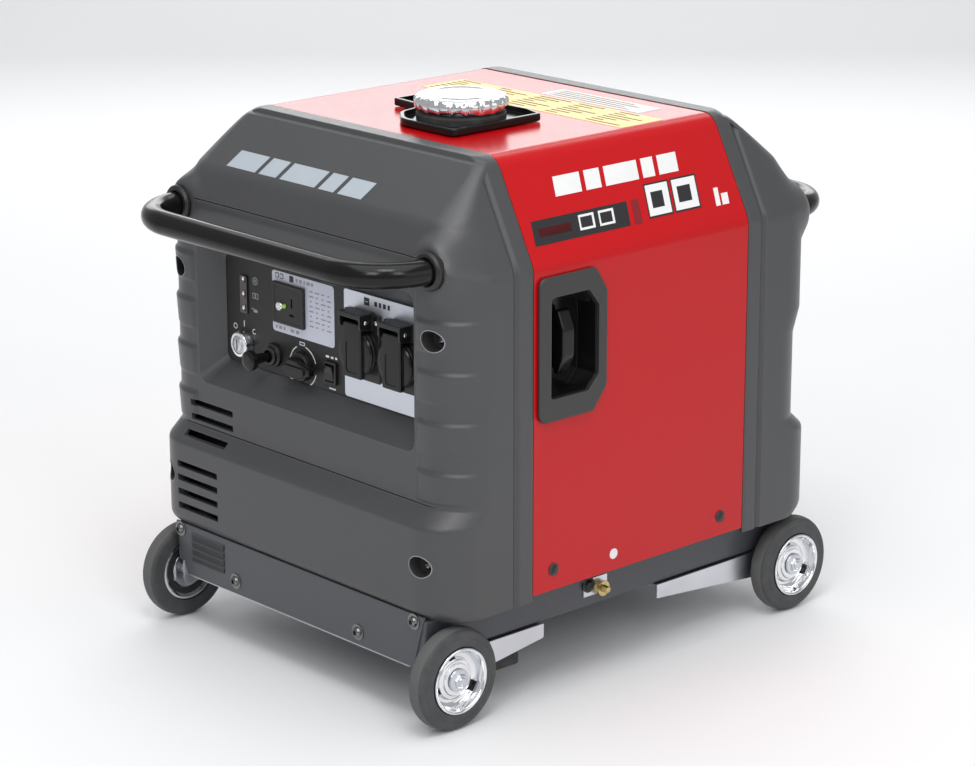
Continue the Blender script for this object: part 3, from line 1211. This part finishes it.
def makeFuelValve():
    low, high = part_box("fuel_valve_body")
    centre = Vector(((low.x + high.x) / 2, high.y, (low.z + high.z) / 2))
    body = turned("fuelValveBody", [(0.0, 0.0070), (0.0120, 0.0070), (0.0138, 0.0062), (0.0145, 0.0046), (0.0145, 0.0),
                                    (0.0, 0.0)], centre, (0, -1, 0), 64)
    piece(body, "satinBlack", stands=["fuel_valve_body"])
    leverLow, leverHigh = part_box("fuel_valve_lever")
    back, front = leverHigh.y, leverLow.y
    x, z = centre.x, centre.z
    half = (leverHigh.z - leverLow.z) / 2
    outline = rounded([(leverLow.x, z - half, 0.007), (x + 0.0060, z - half, 0.006), (leverHigh.x, z - 0.0028, 0.002),
                       (leverHigh.x, z + 0.0028, 0.002), (x + 0.0060, z + half, 0.006), (leverLow.x, z + half, 0.007)])
    lever = slab("fuelValveLever", outline, front + 0.0020, back, "XZ", 0.0014, 3)
    grip = pill("leverGrip", (x + 0.0045, z), 0.0310, 0.0078, front, front + 0.0050, "XZ", 0.0030, 0.0010)
    lever = cut(lever, [grip], "UNION")
    piece(lever, "glossBlack", "fuel_valve", ["fuel_valve_lever"])
    face = high.y + 0.0004
    reach = controls["valveArc"]
    ringMark("valveArc", (x, z), reach, 0.0012, "white", face, 18.0, 78.0)
    ringMark("valveArc", (x, z), reach, 0.0012, "white", face, 118.0, 165.0)
    ringMark("valveArc", (x, z), reach, 0.0012, "white", face, 300.0, 345.0)
    mark("valveTick", (x - 0.0010, z + reach + 0.0016), 0.0080, 0.0036, "white", face, 0.0006)
    mark("valveTickIn", (x - 0.0010, z + reach + 0.0016), 0.0060, 0.0018, "panelBlack", face - 0.0001, 0.0004)
    mark("valveSign", (x - 0.0180, z - 0.0150), 0.0048, 0.0040, "white", face, 0.0012)
    mark("valveSignIn", (x - 0.0180, z - 0.0150), 0.0028, 0.0020, "panelBlack", face - 0.0001, 0.0006)


def makeEcoSwitch():
    low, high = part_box("eco_switch_bezel")
    rockLow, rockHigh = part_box("eco_switch_rocker")
    middle = (low + high) / 2
    bezel = pill("ecoBezel", (middle.x, middle.z), high.x - low.x, high.z - low.z, low.y, high.y, "XZ", 0.0014, 0.0005)
    bezel = cut(bezel, [block("ecoOpening", (middle.x - 0.0066, -0.3, middle.z - 0.0090),
                              (middle.x + 0.0066, 0.0, middle.z + 0.0090))])
    piece(bezel, "satinBlack", stands=["eco_switch_bezel"])
    back = rockHigh.y
    outline = rounded([(rockLow.y, rockHigh.z, 0.0008), (rockLow.y + 0.0019, middle.z, 0.004),
                       (back - 0.0015, rockLow.z, 0.0008), (back, rockLow.z, 0.0), (back, rockHigh.z, 0.0)], 4)
    rocker = slab("ecoRocker", outline, rockLow.x, rockHigh.x, "YZ", 0.0005)
    piece(rocker, "glossBlack", "eco_switch", ["eco_switch_rocker"])
    face = high.y + 0.0004
    for dx, dz, width in ((-0.0060, 0.0150, 0.0050), (0.0010, 0.0150, 0.0040), (0.0070, 0.0152, 0.0030)):
        mark("ecoSign", (middle.x + dx, middle.z + dz), width, 0.0022, "white", face, 0.0008)
    mark("ecoSign", (middle.x + 0.0010, middle.z - 0.0160), 0.0100, 0.0016, "white", face, 0.0006)


def makeDirectOutlet():
    low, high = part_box("dc_outlet")
    body = block("directOutlet", low, high, 0.0010)
    rim = pill("outletRecess", ((low.x + high.x) / 2, (low.z + high.z) / 2), high.x - low.x - 0.0050,
               high.z - low.z - 0.0050, low.y - 0.01, low.y + 0.0007, "XZ", 0.0020)
    blades = [pill("blade", (-0.0395, 0.3600), 0.0030, 0.0100, low.y - 0.01, high.y - 0.0008, "XZ", 0.0008),
              pill("blade", (-0.0395, 0.3480), 0.0075, 0.0028, low.y - 0.01, high.y - 0.0008, "XZ", 0.0008)]
    body = cut(body, [rim] + blades)
    piece(body, "panelBlack", stands=["dc_outlet"])
    centre = Vector((-0.0575, low.y + 0.0008, 0.3545))
    button = turned("breakerRing", [(0.0028, 0.0022), (0.0040, 0.0020), (0.0048, 0.0008), (0.0048, 0.0), (0.0028, 0.0)],
                    centre, (0, -1, 0), 36, ring=True)
    piece(button, "chrome")
    cap = turned("breakerButton", [(0.0, 0.0030), (0.0018, 0.0029), (0.0025, 0.0022), (0.0026, 0.0), (0.0, 0.0)],
                 centre, (0, -1, 0), 32)
    piece(cap, "white")
    lamp = turned("outletLamp", [(0.0, 0.0022), (0.0018, 0.0018), (0.0024, 0.0008), (0.0024, 0.0), (0.0, 0.0)],
                  centre + Vector((0.0074, 0.0, 0.0012)), (0, -1, 0), 28)
    piece(lamp, "green")


outlet = {"collar": 0.0235, "well": 0.0198, "hoodHalf": 0.0155, "lidRadius": 0.0240, "barHalf": 0.0132}


def makeOutlets():
    plateLow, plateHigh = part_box("ac_outlet_plate")
    plate = pill("outletPlate", ((plateLow.x + plateHigh.x) / 2, (plateLow.z + plateHigh.z) / 2),
                 plateHigh.x - plateLow.x, plateHigh.z - plateLow.z, plateLow.y, plateHigh.y, "XZ", 0.0030, 0.0003)
    piece(plate, "plate", stands=["ac_outlet_plate"])
    face = plateLow.y
    mark("outletSquare", (0.0700, 0.3835), 0.0075, 0.0075, "ink", face, 0.0004)
    mark("outletSquareIn", (0.0700, 0.3835), 0.0044, 0.0008, "label", face - 0.0001, 0.0003)
    for step, width in enumerate((0.0040, 0.0032, 0.0040, 0.0030)):
        mark("outletBar", (0.0830 + step * 0.0062, 0.3833), width, 0.0046, "ink", face, 0.0002)
    for label in ("left", "right"):
        low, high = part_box("ac_socket_" + label)
        x = (low.x + high.x) / 2
        lidLow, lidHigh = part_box("ac_lid_" + label)
        back = high.y
        z = lidLow.z + outlet["lidRadius"]
        body = block("outletBody", (low.x, back - 0.0030, low.z), (high.x, back, 0.3730), 0.0008)
        collar = turned("collar", [(0.0, 0.0085), (0.0225, 0.0085), (0.0235, 0.0076), (0.0235, -0.0005), (0.0, -0.0005)],
                        (x, back, z), (0, -1, 0), 64)
        hood = block("hood", (x - 0.0155, low.y, high.z - 0.0050), (x + 0.0155, back - 0.001, high.z), 0.0008)
        body = cut(body, [collar, hood], "UNION")
        for sign in (-1, 1):
            ear = slab("ear", rounded([(low.y, high.z - 0.001, 0.0), (back - 0.001, high.z - 0.001, 0.0),
                                       (back - 0.001, high.z - 0.017, 0.0), (low.y, high.z - 0.0150, 0.004)], 4),
                       x + sign * 0.0146 - 0.0009, x + sign * 0.0146 + 0.0009, "YZ")
            body = cut(body, [ear], "UNION")
        body = cut(body, [rod("well", (x, back - 0.009, z), outlet["well"], 0.016, (0, 1, 0), 64)])
        piece(body, "satinBlack", stands=["ac_socket_" + label])
        for dx in (-0.0095, 0.0095):
            piece(rod("pinHole", (x + dx, back - 0.0010, z), 0.0024, 0.0004, (0, 1, 0), 24), "ink")
        for dz in (-0.0170, 0.0170):
            piece(block("earthStrip", (x - 0.0020, back - 0.0050, z + dz - 0.0010),
                        (x + 0.0020, back - 0.0010, z + dz + 0.0010), 0.0003), "zinc")
        lidBack, lidFront = lidHigh.y, lidLow.y
        disc = turned("lidDisc", [(0.0, 0.0036), (0.0200, 0.0036), (0.0228, 0.0030), (0.0240, 0.0016), (0.0240, 0.0),
                                  (0.0, 0.0)], (x, lidBack, z), (0, -1, 0), 64)
        bar = block("lidBar", (x - outlet["barHalf"], lidFront, lidLow.z + 0.0002),
                    (x + outlet["barHalf"], lidBack - 0.0006, lidHigh.z), 0.0016)
        lid = cut(disc, [bar], "UNION")
        dip = pill("lidDip", (x, z - 0.004), 0.0170, 0.0300, lidFront - 0.001, lidFront + 0.0008, "XZ", 0.003)
        lid = cut(lid, [dip])
        piece(lid, "glossBlack", label + "_lid", ["ac_lid_" + label])
        pin = turned("hingePin", [(0.0, 0.0012), (0.0014, 0.0010), (0.0020, 0.0003), (0.0020, -0.0006), (0.0, -0.0006)],
                     (x + outlet["hoodHalf"], lidFront + 0.0046, high.z - 0.0085), (1, 0, 0), 24)
        piece(pin, "chrome")
        piece(screwHead("outletScrew", (x + 0.0205, back - 0.0030, high.z - 0.0090), (0, -1, 0), 0.0024, 0.0012),
              "chrome")


# ---- labels and small fittings ----
def roofLabel(name, x0, x1, y0, y1, look, lift=0.00025):
    low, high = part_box("body_shell")
    top = high.z - shell["inset"]
    made = slab(name, rounded([(x0, y0, 0.002), (x1, y0, 0.002), (x1, y1, 0.002), (x0, y1, 0.002)], 4),
                top - 0.0001, top + lift, "XY")
    return piece(made, look)


# flat shape on the side that leans in: (y, height) corners laid on the slope
def sideMark(name, corners, look, lift=0.0003):
    work = bmesh.new()
    low, high = [], []
    lean = Vector((housing["roofZ"] - housing["kinkZ"], 0.0, housing["halfWidth"] - housing["shoulderX"])).normalized()
    for y, z in corners:
        x = housing["halfWidth"] - (z - housing["kinkZ"]) * lean.z / lean.x
        skin = Vector((x, y, z)) - lean * shell["inset"]
        low.append(work.verts.new(skin - lean * 0.0001))
        high.append(work.verts.new(skin + lean * lift))
    work.faces.new(low)
    work.faces.new(high)
    for k in range(len(corners)):
        after = (k + 1) % len(corners)
        work.faces.new((low[k], low[after], high[after], high[k]))
    return piece(meshOf(name, work), look)


# same on the slope above the control panel: (x, height) corners
def browMark(name, corners, look, lift=0.0003):
    bottom, top = Vector((0.2255, 0.4765)), Vector((0.1690, 0.5222))
    run = (top - bottom).normalized()
    normal = Vector((0.0, -run.y, -run.x))
    work = bmesh.new()
    low, high = [], []
    for x, z in corners:
        depth = bottom.x + (z - bottom.y) * run.x / run.y
        skin = Vector((x, -depth, z))
        low.append(work.verts.new(skin + normal * 0.0001))
        high.append(work.verts.new(skin - normal * lift if normal.z < 0 else skin + normal * lift))
    work.faces.new(low)
    work.faces.new(high)
    for k in range(len(corners)):
        after = (k + 1) % len(corners)
        work.faces.new((low[k], low[after], high[after], high[k]))
    return piece(meshOf(name, work), look)


def leaning(y0, y1, z0, z1, slant=0.35):
    shift = (z1 - z0) * slant
    return [(y0, z0), (y1, z0), (y1 + shift, z1), (y0 + shift, z1)]


def makeMarks():
    roofLabel("yellowLabel", -0.130, 0.159, 0.0290, 0.0875, "yellow")
    for row in range(7):
        y = 0.0345 + row * 0.0078
        for step in range(5):
            start = -0.124 + step * 0.057
            width = 0.046 - 0.010 * ((row * 3 + step * 5) % 4)
            roofLabel("labelLine", start, start + width, y, y + 0.0024, "tan", 0.0004)
    roofLabel("greyLabel", -0.020, 0.120, 0.0920, 0.1250, "label")
    for row in range(4):
        roofLabel("labelLine", -0.012, 0.100 - 0.012 * (row % 2), 0.0965 + row * 0.0070, 0.0990 + row * 0.0070,
                  "yellow", 0.0004)
    # plain slanted bars in place of any wording
    for step, width in enumerate((0.034, 0.020, 0.044, 0.016, 0.026)):
        start = -0.090 + (0.0, 0.040, 0.066, 0.116, 0.138)[step]
        sideMark("sideBar", leaning(start, start + width, 0.4850, 0.5020, 0.2), "white")
    sideMark("blackBar", leaning(-0.134, -0.010, 0.4480, 0.4690, 0.2), "ink")
    sideMark("blackBarTail", leaning(-0.004, 0.006, 0.4480, 0.4690, 0.2), "deepRed")
    sideMark("redStripe", leaning(-0.126, -0.084, 0.4545, 0.4620, 0.2), "deepRed")
    for step, (start, width) in enumerate(((-0.074, 0.020), (-0.048, 0.020))):
        sideMark("outlineBar", leaning(start, start + width, 0.4530, 0.4660, 0.2), "white", 0.0004)
        sideMark("outlineBarIn", leaning(start + 0.0024, start + width - 0.0024, 0.4550, 0.4640, 0.2), "ink", 0.0005)
    for start, width in ((0.0180, 0.0300), (0.0540, 0.0320)):
        sideMark("figureEdge", leaning(start - 0.0016, start + width + 0.0016, 0.4500, 0.4800, 0.2), "ink", 0.0003)
        sideMark("figureBar", leaning(start, start + width, 0.4516, 0.4784, 0.2), "white", 0.0004)
        sideMark("figureIn", leaning(start + 0.0070, start + width - 0.0070, 0.4580, 0.4720, 0.2), "ink", 0.0005)
    sideMark("smallBar", leaning(0.1080, 0.1140, 0.4480, 0.4640, 0.2), "white")
    sideMark("smallBar", leaning(0.1170, 0.1260, 0.4480, 0.4580, 0.2), "white")
    for step, width in enumerate((0.044, 0.026, 0.052, 0.022, 0.034)):
        start = -0.136 + (0.0, 0.050, 0.082, 0.140, 0.168)[step]
        browMark("browBar", leaning(start, start + width, 0.4810, 0.4945, 0.3), "silver")


def makeFittings():
    x = housing["halfWidth"] - shell["inset"]
    for y, z in ((-0.118, 0.133), (0.112, 0.132)):
        for sign in (-1, 1):
            piece(screwHead("sideScrew", (sign * x, y, z), (sign, 0, 0), 0.0048, 0.0020, "cross", 0.0062), "satinBlack")
    sticker = turned("roundSticker", [(0.0, 0.0005), (0.0050, 0.0005), (0.0052, 0.0003), (0.0052, -0.0002),
                                      (0.0, -0.0002)], (x, -0.0375, 0.129), (1, 0, 0), 40)
    piece(sticker, "white")
    low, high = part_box("base_pan")
    side = high.x
    bracket = block("earthBracket", (side - 0.0005, -0.048, 0.0780), (side + 0.0014, -0.016, 0.0960), 0.0005)
    piece(bracket, "zinc")
    piece(screwHead("earthScrew", (side + 0.0014, -0.0420, 0.0900), (1, 0, 0), 0.0060, 0.0046, "cross", 0.0078),
          "satinBlack")
    earth = Vector((side + 0.0012, -0.0260, 0.0840))
    nut = turned("earthNut", [(0.0, 0.0045), (0.0060, 0.0045), (0.0068, 0.0036), (0.0068, 0.0), (0.0, 0.0)], earth,
                 (1, 0, 0), 6)
    thread = turned("earthThread", [(0.0, 0.0125)] + [
        (0.0033 if k % 2 else 0.0028, 0.0120 - k * 0.0006) for k in range(20)] + [(0.0, 0.0)], earth, (1, 0, 0), 28)
    wing = turned("earthWasher", [(0.0036, 0.0058), (0.0078, 0.0058), (0.0078, 0.0046), (0.0036, 0.0046)], earth,
                  (1, 0, 0), 32, ring=True)
    piece(merged("earthTerminal", [nut, thread, wing]), "brass")


innerLooks = {
    "fuel_tank": "darkSteel", "crankcase": "cast", "cylinder_barrel": "cast", "alternator_rotor": "darkSteel",
    "recoil_housing": "basePaint", "recoil_pulley": "satinBlack", "muffler": "darkSteel", "carburettor": "cast",
    "air_cleaner": "satinBlack", "battery": "satinBlack", "inverter_unit": "cast",
}


# pieces inside the housing keep their CAD shape, with smooth round walls and a real finish
def dressInside():
    for name, look in innerLooks.items():
        node = frame["nodes"][name]
        node.data.materials.clear()
        node.data.materials.append(looks[look])
        node.data.shade_smooth()
        weld = node.modifiers.new("weld", "WELD")
        weld.merge_threshold = 0.00001
        split = node.modifiers.new("edges", "EDGE_SPLIT")
        split.split_angle = math.radians(32)


# ---- surroundings ----
studio = {
    "cameraTarget": (0.0016, -0.025, 0.2958), "azimuth": 47.64, "elevation": 15.67, "distance": 2.99585,
    "roll": -0.13265, "lens": 110.262, "shiftX": 0.01869, "shiftY": -0.04468,
}


def makeCamera():
    turn, rise = math.radians(studio["azimuth"]), math.radians(studio["elevation"])
    back = Vector((math.sin(turn) * math.cos(rise), -math.cos(turn) * math.cos(rise), math.sin(rise)))
    right = (-back).cross(Vector((0, 0, 1))).normalized()
    up = right.cross(-back)
    tilt = math.radians(studio["roll"])
    rolledRight = right * math.cos(tilt) + up * math.sin(tilt)
    rolledUp = up * math.cos(tilt) - right * math.sin(tilt)
    data = bpy.data.cameras.new("camera")
    data.lens = studio["lens"]
    data.sensor_width = 36.0
    data.shift_x = studio["shiftX"]
    data.shift_y = studio["shiftY"]
    data.clip_end = 50.0
    camera = bpy.data.objects.new("camera", data)
    bpy.context.scene.collection.objects.link(camera)
    camera.matrix_world = Matrix.Translation(Vector(studio["cameraTarget"]) + back * studio["distance"]) @ Matrix(
        (rolledRight, rolledUp, back)).transposed().to_4x4()
    bpy.context.scene.camera = camera


def softLight(name, place, aim, size, power, tone=(1.0, 1.0, 1.0)):
    data = bpy.data.lights.new(name, "AREA")
    data.shape = "RECTANGLE"
    data.size, data.size_y = size
    data.energy = power
    data.color = tone
    lamp = bpy.data.objects.new(name, data)
    bpy.context.scene.collection.objects.link(lamp)
    lamp.location = place
    lamp.rotation_mode = "QUATERNION"
    lamp.rotation_quaternion = (Vector(aim) - Vector(place)).to_track_quat("-Z", "Y")
    return lamp


def makeStudio():
    world = bpy.data.worlds.new("studio")
    bpy.context.scene.world = world
    world.use_nodes = True
    world.node_tree.nodes["Background"].inputs["Color"].default_value = (0.90, 0.905, 0.915, 1.0)
    world.node_tree.nodes["Background"].inputs["Strength"].default_value = 0.46
    bpy.context.scene.view_settings.view_transform = "Standard"
    softLight("overhead", (0.5, -0.5, 2.7), (0.1, -0.1, 0.2), (2.6, 2.6), 40.0)
    softLight("topGlint", (1.0, -0.9, 2.5), (0.1, -0.1, 0.3), (0.6, 0.6), 8.0)
    softLight("sideFill", (2.7, 0.4, 1.0), (0.2, 0.0, 0.1), (2.4, 1.4), 8.0)
    softLight("leftGlint", (1.15, -1.95, 1.75), (0.1, -0.2, 0.35), (0.6, 0.9), 10.0)
    softLight("rightGlint", (2.15, -0.95, 1.70), (0.1, -0.2, 0.35), (0.5, 0.9), 7.0)
    softLight("farGlow", (-2.1, 1.9, 1.35), (0.0, 0.0, 0.5), (3.2, 0.8), 18.0)
    softLight("backWash", (-2.3, 2.1, 3.2), (-2.9, 2.7, 0.0), (4.0, 2.0), 46.0)
    paper = Finish("paperFloor", (0.85, 0.855, 0.865), 0.8)
    mottle = paper.noise(1.4, 4.0)
    paper.feed("Base Color", paper.mix(mottle, (0.835, 0.84, 0.85, 1.0), (0.875, 0.88, 0.885, 1.0)))
    paper.feed("Normal", paper.node("Bump", None, {"Strength": 0.05, "Distance": 0.001,
                                                   "Height": paper.noise(220.0, 3.0)}))
    work = bmesh.new()
    rows = []
    sweep = [(-7.0, 0.0), (3.2, 0.0)]
    sweep += [(3.2 + 2.0 * math.sin(a), 2.0 - 2.0 * math.cos(a)) for a in (math.radians(6 * k) for k in range(1, 16))]
    sweep += [(5.2, 7.0)]
    aside = Vector((math.cos(math.radians(studio["azimuth"])), math.sin(math.radians(studio["azimuth"])), 0.0))
    away = Vector((-aside.y, aside.x, 0.0))
    for reach, height in sweep:
        middle = away * reach + Vector((0, 0, height - 0.0001))
        rows.append([work.verts.new(middle - aside * 9.0), work.verts.new(middle + aside * 9.0)])
    for first, second in zip(rows, rows[1:]):
        work.faces.new((first[0], first[1], second[1], second[0]))
    backdrop = meshOf("backdrop", work)
    toolsBox.objects.unlink(backdrop)
    bpy.context.scene.collection.objects.link(backdrop)
    backdrop.hide_render = False
    backdrop.data.materials.append(paper.material)
    backdrop.data.shade_smooth()


makeCamera()
makeStudio()
makeFrontCovers()
print("front covers done")
makeRearCovers()
print("rear covers done")
makeShell()
makeStarter()
print("shell and starter done")
makeHandles()
makeBase()
makeWheels()
print("running gear done")
makePanelPlate()
makeLamps()
makeSwitch()
makeChoke()
makeFuelValve()
makeEcoSwitch()
makeDirectOutlet()
makeOutlets()
print("controls done")
makeFiller()
makeMarks()
makeFittings()
dressInside()
print("details done")

for leftover in list(toolsBox.objects):
    bpy.data.objects.remove(leftover, do_unlink=True)
